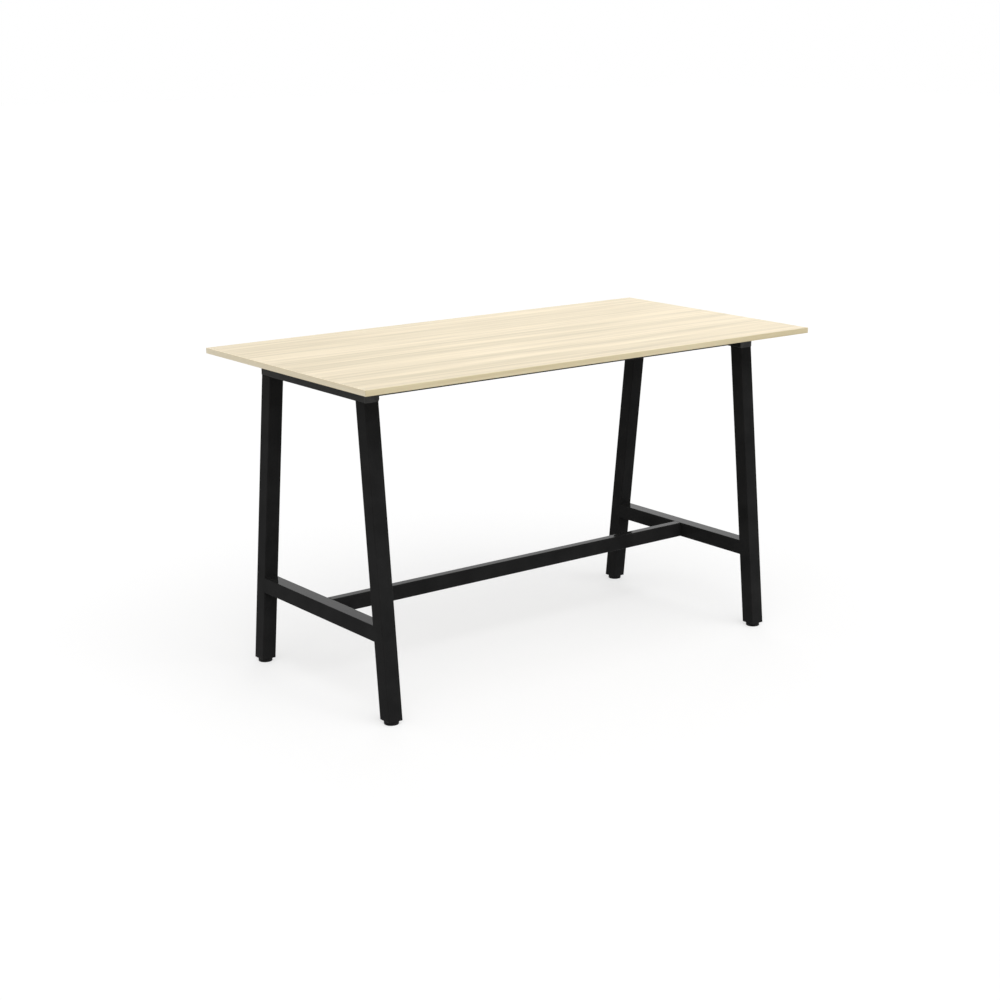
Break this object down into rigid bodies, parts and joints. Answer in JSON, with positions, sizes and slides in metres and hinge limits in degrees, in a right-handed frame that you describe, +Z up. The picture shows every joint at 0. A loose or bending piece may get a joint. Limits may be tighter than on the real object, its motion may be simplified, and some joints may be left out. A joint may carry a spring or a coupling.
{
  "type": "bar leaner table",
  "caption": "Standing-height rectangular table: pale wood-grain board on splayed square-tube end frames with a low central foot rail and levelling feet.",
  "frame": {"origin": "on the floor, under the middle of the board, with the levelling feet screwed right in", "axes": "+X along the board, +Y across it towards the back, +Z up"},
  "size_m": [1.8, 0.9, 1.05],
  "materials": {
    "wood_grain_board": "satin wood-grain melamine",
    "edge_band": "matt edging, colour matched to the board",
    "powder_coat": "satin black powder coat",
    "black_nylon": "moulded black nylon",
    "zinc_steel": "bright zinc plate"
  },
  "bodies": {
    "frame": {"beam_back": "powder_coat", "beam_bolts": "zinc_steel", "beam_front": "powder_coat", "beam_nuts": "zinc_steel", "beam_plate_back_left": "powder_coat", "beam_plate_back_right": "powder_coat", "beam_plate_front_left": "powder_coat", "beam_plate_front_right": "powder_coat", "beam_screws": "zinc_steel", "edge_band_back": "edge_band", "edge_band_front": "edge_band", "edge_band_left": "edge_band", "edge_band_right": "edge_band", "fixing_plate_left": "powder_coat", "fixing_plate_right": "powder_coat", "foot_nut_left_back": "zinc_steel", "foot_nut_left_front": "zinc_steel", "foot_nut_right_back": "zinc_steel", "foot_nut_right_front": "zinc_steel", "foot_rail": "powder_coat", "foot_rail_screws": "zinc_steel", "foot_rail_spigot_left": "powder_coat", "foot_rail_spigot_right": "powder_coat", "leg_insert_left_back": "black_nylon", "leg_insert_left_front": "black_nylon", "leg_insert_right_back": "black_nylon", "leg_insert_right_front": "black_nylon", "leg_left_back": "powder_coat", "leg_left_front": "powder_coat", "leg_right_back": "powder_coat", "leg_right_front": "powder_coat", "lower_rail_left": "powder_coat", "lower_rail_right": "powder_coat", "plate_screws": "zinc_steel", "rail_cap_left_back": "black_nylon", "rail_cap_left_front": "black_nylon", "rail_cap_right_back": "black_nylon", "rail_cap_right_front": "black_nylon", "top_rail_left": "powder_coat", "top_rail_right": "powder_coat", "worktop_board": "wood_grain_board"},
    "foot_left_front": {"foot_pad_left_front": "black_nylon"},
    "stem_left_front": {"foot_stem_left_front": "zinc_steel"},
    "foot_left_back": {"foot_pad_left_back": "black_nylon"},
    "stem_left_back": {"foot_stem_left_back": "zinc_steel"},
    "foot_right_front": {"foot_pad_right_front": "black_nylon"},
    "stem_right_front": {"foot_stem_right_front": "zinc_steel"},
    "foot_right_back": {"foot_pad_right_back": "black_nylon"},
    "stem_right_back": {"foot_stem_right_back": "zinc_steel"}
  },
  "joints": [
    {"name": "foot_travel_left_front", "type": "slide", "parent": "frame", "child": "foot_left_front", "axis": [0, 0, -1], "range_m": [0, 0.015]},
    {"name": "stem_turn_left_front", "type": "hinge", "parent": "foot_left_front", "child": "stem_left_front", "pos_m": [-0.771, -0.36497, 0], "axis": [0, 0, -1], "range_deg": [0, 3600]},
    {"name": "foot_travel_left_back", "type": "slide", "parent": "frame", "child": "foot_left_back", "axis": [0, 0, -1], "range_m": [0, 0.015]},
    {"name": "stem_turn_left_back", "type": "hinge", "parent": "foot_left_back", "child": "stem_left_back", "pos_m": [-0.771, 0.36497, 0], "axis": [0, 0, -1], "range_deg": [0, 3600]},
    {"name": "foot_travel_right_front", "type": "slide", "parent": "frame", "child": "foot_right_front", "axis": [0, 0, -1], "range_m": [0, 0.015]},
    {"name": "stem_turn_right_front", "type": "hinge", "parent": "foot_right_front", "child": "stem_right_front", "pos_m": [0.771, -0.36497, 0], "axis": [0, 0, -1], "range_deg": [0, 3600]},
    {"name": "foot_travel_right_back", "type": "slide", "parent": "frame", "child": "foot_right_back", "axis": [0, 0, -1], "range_m": [0, 0.015]},
    {"name": "stem_turn_right_back", "type": "hinge", "parent": "foot_right_back", "child": "stem_right_back", "pos_m": [0.771, 0.36497, 0], "axis": [0, 0, -1], "range_deg": [0, 3600]}
  ],
  "couplings": [
    {"joint": "stem_turn_left_front", "follows": "foot_travel_left_front", "rad_per_m": 4188.8},
    {"joint": "stem_turn_left_back", "follows": "foot_travel_left_back", "rad_per_m": 4188.8},
    {"joint": "stem_turn_right_front", "follows": "foot_travel_right_front", "rad_per_m": 4188.8},
    {"joint": "stem_turn_right_back", "follows": "foot_travel_right_back", "rad_per_m": 4188.8}
  ]
}
